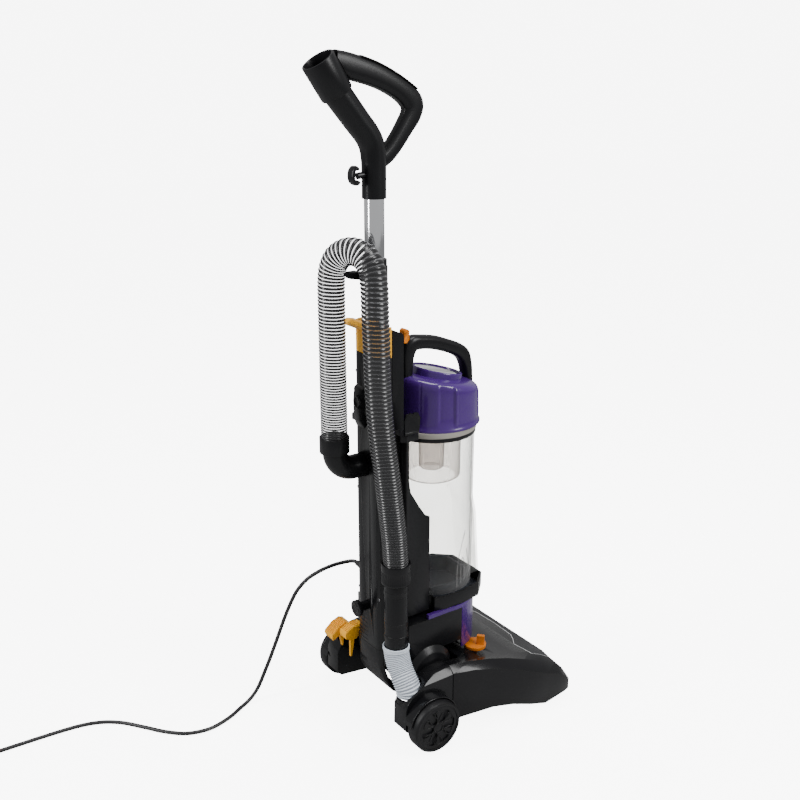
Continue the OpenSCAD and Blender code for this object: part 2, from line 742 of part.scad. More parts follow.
// Neck of the handle: y, z and radius, from the collar to the open mouth.
NECK = [[97, 965, 18.5], [101, 980, 19.3], [161, 1047, 22]];
module neck_part(a, b, shrink) {
  d = [0, b[0] - a[0], b[1] - a[1]];
  translate([0, a[0], a[1]]) rotate([-atan2(d[1], d[2]), 0, 0])
    cylinder(h = norm(d), r1 = a[2] - shrink, r2 = b[2] - shrink);
}
module handle_body() color(black) {
  difference() {
    union() {
      translate([0, tube_y, 892]) cylinder(h = 74, r = 18.5);
      translate([0, 99, 968]) sphere(r = 19.2);
      neck_part([99, 966, 19], [161, 1045, 21], 0);
      neck_part([158, 1041, 24.5], [190, 1088, 25.3], 0);
      ycyl(110, 130, 7, 0, 927);
      side(-9, 9, [[127, 918], [131, 915], [136, 920], [137, 934], [133, 940], [130, 938], [132, 930]]);
      loop_bar();
    }
    translate([0, tube_y, 880]) cylinder(h = 80, r = tube_r + 0.03);
    translate([0, 99, 968]) sphere(r = 16);
    neck_part([99, 966, 19], [161, 1045, 21], 3);
    neck_part([148, 1026.3, 17], [161, 1045.4, 17], 0);
    neck_part([160, 1043.9, mouth_r], [196, 1096.8, mouth_r], 0);
  }
}
LOOP_OUT = [[80, 945], [58, 962], [36, 990], [16, 1014], [9, 1026], [10, 1038], [20, 1052], [36, 1062],
  [60, 1074], [90, 1086], [125, 1095], [160, 1099], [168, 1098]];
LOOP_IN = [[160, 1076], [150, 1070], [138, 1062], [110, 1056], [80, 1046], [56, 1036], [48, 1028],
  [50, 1018], [62, 998], [78, 975], [86, 968]];
module loop_bar() {
  difference() {
    side(-12, 12, concat(LOOP_OUT, LOOP_IN));
    neck_part([99, 966, 19], [196, 1097, 21], 3.2);
  }
}
module grip_pad() color([0.16, 0.14, 0.13]) {
  side(-11.5, 11.5, [[11, 1039.5], [20.4, 1053.2], [36.4, 1063.2], [60.4, 1075.2], [90, 1087.2], [125,
    1096.2],
    [150, 1099], [150, 1100.4], [125, 1098], [90, 1089], [60, 1077], [36, 1065], [19, 1054.4], [9, 1040]]);
}

// ---- bin ----
BULGE = [[-70, 229.3], [-97, 229.3], [-95, 252], [-91, 308], [-88, 347], [-80, 380], [-70, 400]];
BULGE_IN = [[-60, 226], [-94.5, 226], [-92.5, 252], [-88.5, 307], [-85.5, 346], [-78, 376], [-60, 396]];
module bin_jar() color(clear) {
  difference() {
    union() {
      translate([0, bin_y, 229.3]) cylinder(h = 274.5, r1 = bin_r - 1, r2 = bin_r);
      side(-34, 34, BULGE);
    }
    translate([0, bin_y, 228]) cylinder(h = 278, r1 = bin_r - bin_wall - 1, r2 = bin_r - bin_wall);
    side(-31.5, 31.5, BULGE_IN);
    ycyl(40, 62, 15, 12, 466);
  }
}
module bin_cap() color(purple) {
  difference() {
    union() {
      translate([0, bin_y, 0]) rotate_extrude() polygon([[0, 520.3], [76, 520.3], [76, 523], [73.5, 527],
        [72, 570],
        [71, 582], [66, 590], [54, 597], [44, 601], [0, 601]]);
      translate([0, bin_y - 1, 596]) rotate([13, 0, 0]) cylinder(h = 12, r = 42);
    }
    translate([0, bin_y, 0]) rotate_extrude() polygon([[0, 519], [70, 519], [69, 570], [68, 580], [64, 586],
      [52, 592], [36, 595], [0, 595]]);
    translate([0, bin_y - 1, 594]) rotate([13, 0, 0]) cylinder(h = 30, r = 38.3);
  }
}
module cap_filter() color(silver) {
  translate([0, bin_y - 1, 596]) rotate([13, 0, 0]) cylinder(h = 10, r = 37.7);
}
module carry_handle() color(black) {
  difference() {
    side(-12.5, 12.5, [[50, 588], [50, 640], [50, 672], [44, 677], [32, 677], [9.5, 673], [-17.6, 666],
      [-45, 656],
      [-70, 643], [-84, 630], [-91, 615], [-96, 582], [-92, 560], [-86.8, 560], [-86.8, 590], [-70, 592],
        [-66, 600],
      [-64, 614], [-65, 621], [-56, 624], [-33, 631], [-9, 640], [10, 648], [18, 650], [25, 645], [27,
        635], [29, 612],
      [30, 590], [40, 586]]);
    translate([0, bin_y, 500]) cylinder(h = 84, r = 73.2);
    translate([0, bin_y, 0]) rotate_extrude() polygon([[0, 520], [73.2, 580], [71.1, 582.2], [66.1,
      590.2], [54.1, 597.2],
      [44, 601.2], [0, 601.2]]);
    box(-7.4, 7.4, 35.6, 46.4, 657, 690);
    translate([0, bin_y - 1, 596]) rotate([13, 0, 0]) cylinder(h = 13, r = 42.2);
  }
}
module rim_ring() color(black) {
  translate([0, bin_y, 0]) difference() {
    ztube(73.4, 46, 504, 511);
    translate([0, 0, 500]) cylinder(h = 8, r = 52.2);
  }
}
module seal_band() color([0.6, 0.58, 0.54]) translate([0, bin_y, 0]) ztube(74.4, 64, 511.1, 520.2);
module cyclone_shroud() color([0.6, 0.6, 0.62, 0.6]) {
  translate([0, bin_y, 0]) {
    difference() {
      union() {
        translate([0, 0, 426]) cylinder(h = 82, r = 49);
        translate([0, 0, 422]) cylinder(h = 4.1, r1 = 45, r2 = 49);
        translate([0, 0, 504.2]) cylinder(h = 3.7, r = 52);
      }
      translate([0, 0, 425]) cylinder(h = 90, r = 46.5);
    }
    difference() {
      translate([0, 0, 424.5]) cylinder(h = 80, r1 = 14, r2 = 26);
      translate([0, 0, 426.5]) cylinder(h = 80, r1 = 12, r2 = 24);
    }
  }
}
module ring_plan(d) {
  translate([0, bin_y]) circle(r = bin_r - d);
  polygon([[-68 + d, 26 - d], [-74 + d, 9], [-75 + d, -28], [-68.5 + d, -69 + d], [-40 + d * 0.6, -99 + d],
    [40 - d * 0.6, -99 + d], [68.5 - d, -69 + d], [75 - d, -28], [74 - d, 9], [68 - d, 26 - d]]);
}
module bin_ring() color(black) {
  difference() {
    translate([0, 0, 205]) linear_extrude(24) ring_plan(0);
    translate([0, 0, 200]) linear_extrude(40) ring_plan(wall);
    box(-14.4, 14.4, 50, 60, 200, 213);
  }
  side(-9, 9, [[-98, 212], [-98, 228], [-101.5, 226], [-102.5, 216], [-101, 212]]);
  xcyl(-16, 16, 2, 54, 208);
}
module bin_flap() color([0.2, 0.22, 0.27]) {
  difference() {
    union() {
      intersection() {
        translate([0, 0, 205.2]) linear_extrude(4) ring_plan(wall + 0.6);
        box(-80, 80, -110, 45, 200, 215);
      }
      translate([0, 0, 209]) linear_extrude(30) polygon([[-50, 20], [-58, -10], [-54, -48], [-30, -76],
        [30, -76],
        [54, -48], [58, -10], [50, 20], [26, 36], [-26, 36]]);
      box(-12, 12, 42, 54, 205.2, 209.2);
      xcyl(-12, 12, 3.6, 54, 208.8);
    }
    translate([0, 0, 211]) linear_extrude(30) polygon([[-46, 18], [-54, -10], [-50, -46], [-28, -72],
      [28, -72],
      [50, -46], [54, -10], [46, 18], [24, 32], [-24, 32]]);
    xcyl(-20, 20, 2.09, 54, 208);
  }
}
module lid_latch() color(black) {
  difference() {
    union() {
      side(-75.5, -72.5, [[66, 535], [64, 560], [68, 569], [76, 570], [79, 563], [82, 570], [90, 569],
        [94, 560],
        [93, 535]]);
      xcyl(-75.5, -69.5, 3, 79.5, 566);
      ycyl(66, 93, 2, -74, 538);
    }
  }
}
module bin_button() color(amber) {
  translate([-7, 36, 661.5]) cube([14, 10, 17]);
  xcyl(-7, 7, 5, 41, 679);
}

// ---- power cord ----
module power_cord() color(gloss) sweep(CORD, cord_r, [0, 0.2, 1], 10);
module cord_coil() color(gloss) {
  translate([COIL[0], COIL[1], 17.6]) rotate_extrude() translate([coil_across / 2, 0])
    polygon([for (k = [0:11]) 17.5 * [cos(30 * k), sin(30 * k)]]);
}
module cord_plug() color(gloss) {
  translate([COIL[0], COIL[1], 35.2]) {
    translate([-8, 20, 0]) cube([24, 40, 20]);
    for (x = [-3, 8]) translate([x, 59.9, 9]) cube([1.8, 17, 6]);
  }
}

head_base();
head_cover();
front_strip();
trim_line();
wheel_axles();
pivot_collars();
brush_bearings();
drive_belt();
wheel_left();
wheel_right();
tyre_left();
tyre_right();
roller_carriage();
roller_left();
roller_right();
brush_roll();
brush_bristles();
height_dial();
recline_pedal();
motor_housing();
motor_stator();
motor_rotor();
base_block();
base_trim();
exhaust_filter();
spine_front();
spine_back();
lower_back();
inlet_duct();
lower_pipe();
pipe_clips();
spine_screws();
duct_hose();
hose_cuff();
suction_hose();
hose_end_cuff();
elbow();
cord_post();
cord_hook();
strain_relief();
tube_clip();
wand_lever();
power_pedal();
chrome_tube();
handle_body();
grip_pad();
bin_jar();
bin_cap();
cap_filter();
carry_handle();
rim_ring();
seal_band();
cyclone_shroud();
bin_ring();
bin_flap();
lid_latch();
bin_button();
power_cord();
cord_coil();
cord_plug();
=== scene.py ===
"""Looks of the upright vacuum cleaner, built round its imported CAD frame. Metres, +Z up."""
import json
import math
import bmesh
import bpy
import numpy as np
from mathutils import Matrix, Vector


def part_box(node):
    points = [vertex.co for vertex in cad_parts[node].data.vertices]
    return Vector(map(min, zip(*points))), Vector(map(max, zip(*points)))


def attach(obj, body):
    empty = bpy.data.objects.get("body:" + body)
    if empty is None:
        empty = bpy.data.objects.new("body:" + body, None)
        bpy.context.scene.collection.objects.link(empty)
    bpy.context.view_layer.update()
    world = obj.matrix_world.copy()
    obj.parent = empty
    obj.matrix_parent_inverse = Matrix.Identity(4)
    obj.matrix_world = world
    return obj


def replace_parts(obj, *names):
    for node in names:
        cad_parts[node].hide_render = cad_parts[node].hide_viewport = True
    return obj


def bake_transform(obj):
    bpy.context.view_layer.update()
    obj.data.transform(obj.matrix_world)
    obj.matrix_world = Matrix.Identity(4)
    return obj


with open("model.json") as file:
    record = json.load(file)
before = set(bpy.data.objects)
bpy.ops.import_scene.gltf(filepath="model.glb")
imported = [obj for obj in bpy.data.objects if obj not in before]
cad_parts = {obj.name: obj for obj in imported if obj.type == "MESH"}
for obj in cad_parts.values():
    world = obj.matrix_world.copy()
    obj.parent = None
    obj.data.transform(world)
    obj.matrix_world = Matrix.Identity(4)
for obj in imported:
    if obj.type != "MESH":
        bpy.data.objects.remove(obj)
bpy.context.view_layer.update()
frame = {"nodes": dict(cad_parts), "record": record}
NODES = frame["nodes"]
MM = 0.001


def corner(node, hi=False):
    """Lowest corner of a node's box, or its highest."""
    return np.array(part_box(node)[1 if hi else 0])


def middle(node):
    return (corner(node) + corner(node, True)) / 2


def ramp(past, width):
    """0 up to the start, 1 from width past it, straight between."""
    return min(1.0, max(0.0, past / width))


# ---------------------------------------------------------------- camera, floor and light
EYE, GAZE = (-1.2606, 0.9405, 1.0659), (0.7769, -0.5491, -0.3080)
SENSOR, LENS = 36, 45.04
FLOOR_HALF = 9
# Floor and sky are bright to the camera and dim to every other ray, so the black plastic stays black.
FLOOR_GLOW, SKY_GLOW, SKY_LIGHT = 7.0, 7.6, 0.5
FLOOR_SEEN, FLOOR_BOUNCE = 1.0, 0.45


def add_camera():
    cam = bpy.data.objects.new("camera", bpy.data.cameras.new("camera"))
    cam.data.sensor_width, cam.data.lens = SENSOR, LENS
    cam.location = EYE
    cam.rotation_euler = Vector(GAZE).to_track_quat("-Z", "Y").to_euler()
    bpy.context.scene.collection.objects.link(cam)
    bpy.context.scene.camera = cam


def for_the_camera(nt, seen, otherwise):
    """A number that is one thing to the camera and another to every other ray."""
    path = nt.nodes.new("ShaderNodeLightPath")
    mix = nt.nodes.new("ShaderNodeMix")
    mix.data_type = "FLOAT"
    mix.inputs["A"].default_value = otherwise
    mix.inputs["B"].default_value = seen
    nt.links.new(path.outputs["Is Camera Ray"], mix.inputs["Factor"])
    return mix.outputs["Result"]


def new_material(name):
    m = bpy.data.materials.new(name)
    m.use_nodes = True
    return m, m.node_tree, m.node_tree.nodes["Principled BSDF"]


def add_stage():
    bm = bmesh.new()
    bmesh.ops.create_grid(bm, x_segments=8, y_segments=8, size=FLOOR_HALF)
    me = bpy.data.meshes.new("floor")
    bm.to_mesh(me)
    bm.free()
    floor = bpy.data.objects.new("floor", me)
    bpy.context.scene.collection.objects.link(floor)
    m, nt, p = new_material("floor_white")
    p.inputs["Roughness"].default_value = 1
    p.inputs["Specular IOR Level"].default_value = 0
    nt.links.new(for_the_camera(nt, FLOOR_SEEN, FLOOR_BOUNCE), p.inputs["Base Color"])
    p.inputs["Emission Color"].default_value = (1, 1, 1, 1)
    nt.links.new(for_the_camera(nt, FLOOR_GLOW, 0.0), p.inputs["Emission Strength"])
    me.materials.append(m)
    world = bpy.data.worlds.new("studio")
    world.use_nodes = True
    back = world.node_tree.nodes["Background"]
    back.inputs["Color"].default_value = (1, 1, 1, 1)
    world.node_tree.links.new(for_the_camera(world.node_tree, SKY_GLOW, SKY_LIGHT), back.inputs["Strength"])
    bpy.context.scene.world = world


def add_light(name, place, aim, size, power):
    light = bpy.data.objects.new(name, bpy.data.lights.new(name, "AREA"))
    light.data.shape, light.data.size, light.data.size_y = "RECTANGLE", size[0], size[1]
    light.data.energy = power
    light.location = place
    light.rotation_euler = (Vector(aim) - Vector(place)).to_track_quat("-Z", "Y").to_euler()
    bpy.context.scene.collection.objects.link(light)


add_camera()
add_stage()
add_light("key", (-1.7, -0.9, 2.0), (0, 0, 0.5), (0.8, 1.6), 52)
add_light("strip", (0.5, 2.2, 1.6), (0, 0, 0.5), (0.3, 1.9), 46)
add_light("top", (0.1, -0.1, 2.7), (0, 0, 0.3), (1.0, 1.0), 34)


# ---------------------------------------------------------------- materials
PATCHES = 14          # scale of the slow drift in colour and roughness, patches about 70 mm across
COAT_ROUGH = 0.06
GRIME = 9             # scale of the faint haze in a clear wall
EDGE_BLEND, EDGE_POWER = 0.32, 2.2      # how fast a clear wall turns glossy toward its outline


def noise(nt, scale, detail=2.0):
    """A noise texture fixed to the piece."""
    tex = nt.nodes.new("ShaderNodeTexNoise")
    tex.inputs["Scale"].default_value = scale
    tex.inputs["Detail"].default_value = detail
    nt.links.new(nt.nodes.new("ShaderNodeTexCoord").outputs["Object"], tex.inputs["Vector"])
    return tex.outputs["Fac"]


def add_bump(nt, height, depth, strength):
    """Stands the height out of the surface, depth mm at most."""
    b = nt.nodes.new("ShaderNodeBump")
    b.inputs["Strength"].default_value = strength
    b.inputs["Distance"].default_value = depth * MM
    nt.links.new(height, b.inputs["Height"])
    nt.links.new(b.outputs["Normal"], nt.nodes["Principled BSDF"].inputs["Normal"])


def plastic(name, color, rough, bump, grain=900.0, spread=0.25, metal=0.0, coat=0.0, shine=0.5):
    """Moulded surface: colour and roughness drift a little, and a fine grain stands in the bump."""
    m, nt, p = new_material(name)
    drift = noise(nt, PATCHES, 4)
    mix = nt.nodes.new("ShaderNodeMix")
    mix.data_type = "RGBA"
    mix.inputs["A"].default_value = [c * (1 - spread) for c in color] + [1]
    mix.inputs["B"].default_value = [min(1, c * (1 + spread)) for c in color] + [1]
    nt.links.new(drift, mix.inputs["Factor"])
    nt.links.new(mix.outputs["Result"], p.inputs["Base Color"])
    worn = nt.nodes.new("ShaderNodeMapRange")
    worn.inputs["To Min"].default_value = rough * 0.85
    worn.inputs["To Max"].default_value = min(1, rough * 1.2)
    nt.links.new(drift, worn.inputs["Value"])
    nt.links.new(worn.outputs["Result"], p.inputs["Roughness"])
    p.inputs["Metallic"].default_value = metal
    p.inputs["Coat Weight"].default_value = coat
    p.inputs["Coat Roughness"].default_value = COAT_ROUGH
    p.inputs["Specular IOR Level"].default_value = shine
    add_bump(nt, noise(nt, grain, 3), bump, 0.5)
    return m


def dimpled(name, color, rough, bump, cells, pit_depth):
    """Plastic with a field of small round dimples in place of its grain."""
    m = plastic(name, color, rough, bump)
    nt = m.node_tree
    field = nt.nodes.new("ShaderNodeTexVoronoi")
    field.inputs["Scale"].default_value = cells
    field.inputs["Randomness"].default_value = 0.1
    nt.links.new(nt.nodes.new("ShaderNodeTexCoord").outputs["Object"], field.inputs["Vector"])
    pit = nt.nodes.new("ShaderNodeMapRange")
    pit.inputs["From Max"].default_value = 0.45
    nt.links.new(field.outputs["Distance"], pit.inputs["Value"])
    add_bump(nt, pit.outputs["Result"], pit_depth, 1)
    return m


def see_through(name, tint, clear, gloss, rough):
    """Thin clear wall: mostly lets light straight through, with a glossy skin that grows at the edge."""
    m, nt, p = new_material(name)
    p.inputs["Base Color"].default_value = (*tint, 1)
    p.inputs["Roughness"].default_value = rough
    through = nt.nodes.new("ShaderNodeBsdfTransparent")
    through.inputs["Color"].default_value = (*clear, 1)
    edge = nt.nodes.new("ShaderNodeLayerWeight")
    edge.inputs["Blend"].default_value = EDGE_BLEND
    power = nt.nodes.new("ShaderNodeMath")
    power.operation = "POWER"
    power.inputs[1].default_value = EDGE_POWER
    nt.links.new(edge.outputs["Facing"], power.inputs[0])
    haze = nt.nodes.new("ShaderNodeMath")
    haze.operation = "MULTIPLY_ADD"
    haze.inputs[1].default_value = 0.1
    haze.inputs[2].default_value = gloss - 0.05
    nt.links.new(noise(nt, GRIME), haze.inputs[0])
    total = nt.nodes.new("ShaderNodeMath")
    total.operation = "ADD"
    total.use_clamp = True
    nt.links.new(power.outputs[0], total.inputs[0])
    nt.links.new(haze.outputs[0], total.inputs[1])
    mix = nt.nodes.new("ShaderNodeMixShader")
    nt.links.new(total.outputs[0], mix.inputs["Fac"])
    nt.links.new(through.outputs[0], mix.inputs[1])
    nt.links.new(p.outputs[0], mix.inputs[2])
    nt.links.new(mix.outputs[0], nt.nodes["Material Output"].inputs["Surface"])
    return m


def near_wall_only(m):
    """Lets the inner side of the far wall drop out, as the bright inside of a clear hose does."""
    nt = m.node_tree
    out = nt.nodes["Material Output"]
    shown = out.inputs["Surface"].links[0].from_socket
    mix = nt.nodes.new("ShaderNodeMixShader")
    nt.links.new(nt.nodes.new("ShaderNodeNewGeometry").outputs["Backfacing"], mix.inputs["Fac"])
    nt.links.new(shown, mix.inputs[1])
    nt.links.new(nt.nodes.new("ShaderNodeBsdfTransparent").outputs[0], mix.inputs[2])
    nt.links.new(mix.outputs[0], out.inputs["Surface"])


SOLID = {
    "black_shell": dict(color=(0.006, 0.006, 0.007), rough=0.3, bump=0.03, shine=0.24),
    "hood_gloss": dict(color=(0.005, 0.005, 0.006), rough=0.2, bump=0.006, grain=400, coat=0.1, shine=0.25),
    "trim_silver": dict(color=(0.85, 0.85, 0.87), rough=0.3, bump=0.01, metal=0.6),
    "plain_steel": dict(color=(0.5, 0.5, 0.52), rough=0.35, bump=0.01, metal=1),
    "chrome": dict(color=(0.82, 0.83, 0.85), rough=0.09, bump=0.001, grain=60, spread=0.04, metal=1),
    "tyre_black": dict(color=(0.006, 0.006, 0.007), rough=0.42, bump=0.06, grain=500, shine=0.25),
    "grey_plastic": dict(color=(0.3, 0.31, 0.33), rough=0.45, bump=0.03),
    "yellow_plastic": dict(color=(1.0, 0.46, 0.015), rough=0.4, bump=0.02, spread=0.04, shine=0.25),
    "amber_plastic": dict(color=(0.62, 0.17, 0.006), rough=0.38, bump=0.02, spread=0.1, shine=0.25),
    "purple_plastic": dict(color=(0.05, 0.012, 0.15), rough=0.24, bump=0.006, grain=300, spread=0.1,
                           coat=0.2),
    "soft_grip": dict(color=(0.012, 0.011, 0.01), rough=0.5, bump=0.06, grain=1200, shine=0.25),
    "belt_rubber": dict(color=(0.015, 0.015, 0.015), rough=0.7, bump=0.05, grain=700),
    "bristle": dict(color=(0.06, 0.05, 0.1), rough=0.7, bump=0.2, grain=1500),
    "filter_foam": dict(color=(0.45, 0.45, 0.46), rough=0.9, bump=0.6, grain=1100, spread=0.3),
    "seal_beige": dict(color=(0.33, 0.31, 0.28), rough=0.55, bump=0.03, spread=0.12),
    "flap_blue": dict(color=(0.05, 0.056, 0.07), rough=0.4, bump=0.02),
    "motor_metal": dict(color=(0.4, 0.4, 0.41), rough=0.5, bump=0.1, grain=300, metal=0.8),
    "cord_black": dict(color=(0.012, 0.012, 0.013), rough=0.42, bump=0.03),
    "white_hose": dict(color=(0.72, 0.78, 0.85), rough=0.4, bump=0.02, spread=0.06),
    # darker grey for the troughs of the white duct hose: painted shade in its grooves, not a colour the hose
    # has
    "painted_groove_shade": dict(color=(0.3, 0.33, 0.38), rough=0.5, bump=0.02, spread=0.06),
    "wire_black": dict(color=(0.012, 0.012, 0.013), rough=0.22, bump=0.01),
}
CLEAR = {
    "clear_plastic": dict(tint=(0.3, 0.3, 0.3), clear=(0.82, 0.82, 0.81), gloss=0.06, rough=0.08),
    "clear_rib": dict(tint=(0.6, 0.6, 0.6), clear=(0.9, 0.9, 0.9), gloss=0.16, rough=0.08),
    "smoke_grey": dict(tint=(0.78, 0.74, 0.72), clear=(0.9, 0.87, 0.85), gloss=0.24, rough=0.3),
    "smoke_hose": dict(tint=(0.3, 0.3, 0.31), clear=(0.38, 0.38, 0.385), gloss=0.26, rough=0.25),
}
MAT = {name: plastic(name, **look) for name, look in SOLID.items()}
MAT.update({name: see_through(name, **look) for name, look in CLEAR.items()})
MAT["dimpled_black"] = dimpled("dimpled_black", (0.02, 0.02, 0.022), 0.42, 0.02, cells=190, pit_depth=0.9)
near_wall_only(MAT["wire_black"])
near_wall_only(MAT["smoke_hose"])


# ---------------------------------------------------------------- mesh helpers
def make(name, verts, faces, mats, body, angle=40):
    """A smooth piece that rides on a body, with edges sharper than the angle kept crisp."""
    me = bpy.data.meshes.new(name)
    me.from_pydata([tuple(map(float, v)) for v in verts], [], [tuple(f) for f in faces])
    me.polygons.foreach_set("use_smooth", [True] * len(me.polygons))
    bm = bmesh.new()
    bm.from_mesh(me)
    bmesh.ops.remove_doubles(bm, verts=bm.verts, dist=1e-6)
    bmesh.ops.recalc_face_normals(bm, faces=bm.faces)
    bm.to_mesh(me)
    bm.free()
    me.set_sharp_from_angle(angle=math.radians(angle))
    ob = bpy.data.objects.new(name, me)
    for mat in [mats] if isinstance(mats, str) else mats:
        me.materials.append(MAT[mat])
    bpy.context.scene.collection.objects.link(ob)
    if body:
        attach(ob, body)
    return ob


def joined(parts):
    """One list of vertices and faces from several."""
    verts, faces = [], []
    for v, f in parts:
        base = len(verts)
        verts.extend(v)
        faces.extend(tuple(i + base for i in one) for one in f)
    return verts, faces


def ring_faces(rings, n):
    """Faces between closed rings of n vertices each."""
    return [(i * n + k, i * n + (k + 1) % n, (i + 1) * n + (k + 1) % n, (i + 1) * n + k)
            for i in range(rings - 1) for k in range(n)]


def spline(points, per):
    """Catmull-Rom curve through the points."""
    p = np.array(points, float)
    p = np.vstack([2 * p[0] - p[1], p, 2 * p[-1] - p[-2]])
    out = []
    for i in range(1, len(p) - 2):
        for k in range(per):
            t = k / per
            out.append(0.5 * (2 * p[i] + (p[i + 1] - p[i - 1]) * t
                              + (2 * p[i - 1] - 5 * p[i] + 4 * p[i + 1] - p[i + 2]) * t * t
                              + (3 * p[i] - p[i - 1] - 3 * p[i + 1] + p[i + 2]) * t ** 3))
    out.append(p[-2])
    return np.array(out)


def across(path, up):
    """Two directions across the path at every point."""
    t = np.gradient(path, axis=0)
    t /= np.linalg.norm(t, axis=1)[:, None]
    u = np.cross(t, np.array(up, float))
    u /= np.linalg.norm(u, axis=1)[:, None]
    return u, np.cross(u, t)


def tube(path, section, up):
    """Vertices and faces of a section swept along a path. section(i) gives (n, 2) points."""
    u, v = across(path, up)
    verts = []
    for i in range(len(path)):
        s = section(i)
        verts.extend(path[i] + s[:, :1] * u[i] + s[:, 1:] * v[i])
    n = len(section(0))
    ends = [tuple(range(n))[::-1], tuple((len(path) - 1) * n + k for k in range(n))]
    return verts, ring_faces(len(path), n) + ends


def circle(r, n):
    a = np.arange(n) * 2 * math.pi / n
    return np.stack([r * np.cos(a), r * np.sin(a)], 1)


def squircle(w, h, p, n=40):
    """Rounded box section, half sizes w and h, squarer as p grows."""
    a = np.arange(n) * 2 * math.pi / n
    c, s = np.cos(a), np.sin(a)
    return np.stack([w * np.sign(c) * np.abs(c) ** (2 / p), h * np.sign(s) * np.abs(s) ** (2 / p)], 1)


def bar(rows, up=(1, 0, 0), power=2.6, per=6, n=36):
    """Smooth bar through rows of x, y, z, half thickness and half width, in mm."""
    p = spline(np.array(rows, float) * MM, per)
    return tube(p[:, :3], lambda i: squircle(p[i, 3], p[i, 4], power, n), up)


def turned(profile, start, end, n=72):
    """Radii and distances, in mm, turned round the line from start to end."""
    a = np.array(start, float) * MM
    t = np.array(end, float) * MM - a
    t /= np.linalg.norm(t)
    u = np.cross(t, (1.0, 0, 0) if abs(t[0]) < 0.9 else (0, 1.0, 0))
    u /= np.linalg.norm(u)
    v = np.cross(u, t)
    turn = [2 * math.pi * k / n for k in range(n)]
    verts = [a + t * d * MM + r * MM * (math.cos(w) * u + math.sin(w) * v) for r, d in profile for w in turn]
    return verts, ring_faces(len(profile), n)


def bead(points, r, n=10):
    """Round bead of radius r along a closed line of points, in metres."""
    p = np.array(points)
    t = np.roll(p, -1, 0) - np.roll(p, 1, 0)
    t /= np.linalg.norm(t, axis=1)[:, None]
    u = np.cross(t, np.cross(p[1] - p[0], p[len(p) // 3] - p[0]))
    u /= np.linalg.norm(u, axis=1)[:, None]
    v = np.cross(u, t)
    verts, faces = [], []
    for i in range(len(p)):
        for k in range(n):
            a = 2 * math.pi * k / n
            verts.append(p[i] + r * (math.cos(a) * u[i] + math.sin(a) * v[i]))
            j, m = (i + 1) % len(p), (k + 1) % n
            faces.append((i * n + k, i * n + m, j * n + m, j * n + k))
    return verts, faces


# ---------------------------------------------------------------- mains cord
CORD = np.array([
    (74.5, 90, 255), (79, 90.6, 255.3), (85, 96, 255), (90, 110, 254), (91, 127, 254), (92, 145, 252),
    (97, 157, 246), (104, 169, 237), (110, 180, 225), (115, 190, 210), (119, 197, 194), (123, 204, 175),
    (127, 211, 154), (131, 218, 131), (135, 226, 106), (140, 235, 78), (145, 244, 52), (148, 254, 28),
    (149, 266, 12), (146, 280, 5), (139, 297, 3.6), (128, 318, 3.6), (120, 341, 3.6), (116, 363, 3.6),
    (119, 385, 3.6), (128, 406, 3.6), (143, 423, 3.6), (160, 438, 3.6), (177, 450, 3.6), (193, 462, 3.6),
    (209, 474, 3.6), (223, 487, 3.6), (237, 505, 3.6), (247, 526, 3.6), (253, 550, 3.6), (256, 576, 3.6),
    (258, 602, 3.6), (260, 638, 3.6), (262, 676, 3.6)]) * MM
CORD_D = 0.007
COIL_R, COIL_TURNS, PER_LAYER, PER_TURN = 0.042, 19, 4, 28
COIL_START = math.pi * 1.12
SIDE_GAP = 1.02       # neighbouring turns lie this many diameters apart
PLUG_AXIS = 0.010     # height of the plug's middle over the lowest point of its node
TIE_ANGLE, TIE_HALF, TIE_WIDTH, TIE_THICK = math.radians(-60), 0.0185, 0.008, 0.0009


def coil_turns():
    """Turns in flat layers, working inward and outward by turns, each layer climbing one diameter."""
    centre = middle("cord_coil")
    outer = COIL_R + (PER_LAYER - 1) / 2 * CORD_D * SIDE_GAP
    turns = []
    for k in range(COIL_TURNS * PER_TURN + 1):
        t = k / PER_TURN
        layer, place = divmod(t, PER_LAYER)
        inward = place / PER_LAYER * (PER_LAYER - 1)
        if int(layer) % 2:
            inward = PER_LAYER - 1 - inward
        r = outer - inward * CORD_D * SIDE_GAP
        lift = ramp(place - (PER_LAYER - 0.5), 0.5)
        a = COIL_START - 2 * math.pi * t
        z = CORD_D / 2 + (layer + lift) * CORD_D
        turns.append((centre[0] + r * math.cos(a), centre[1] + r * math.sin(a), z))
    return np.array(turns)


def cord_path():
    """Route over the floor, then the coil, then up into the plug."""
    lead, turns = spline(CORD, 4), coil_turns()
    join = spline([lead[-9], lead[-1], turns[0] + (-0.004, -0.026, 0), turns[0], turns[6]], 8)[8:-8]
    way = turns[-1] - turns[-4]
    way /= np.linalg.norm(way)
    low = corner("cord_plug")
    plug = np.array((middle("cord_plug")[0], low[1], low[2] + PLUG_AXIS))
    tail = spline([turns[-4], turns[-1], turns[-1] + way * 0.02 + (0, 0, 0.003),
                   plug + (-0.004, -0.022, -0.002), plug + (0, 0.004, 0)], 8)[8:]
    return np.vstack([lead[:-1], join[:-1], turns[:-1], tail])


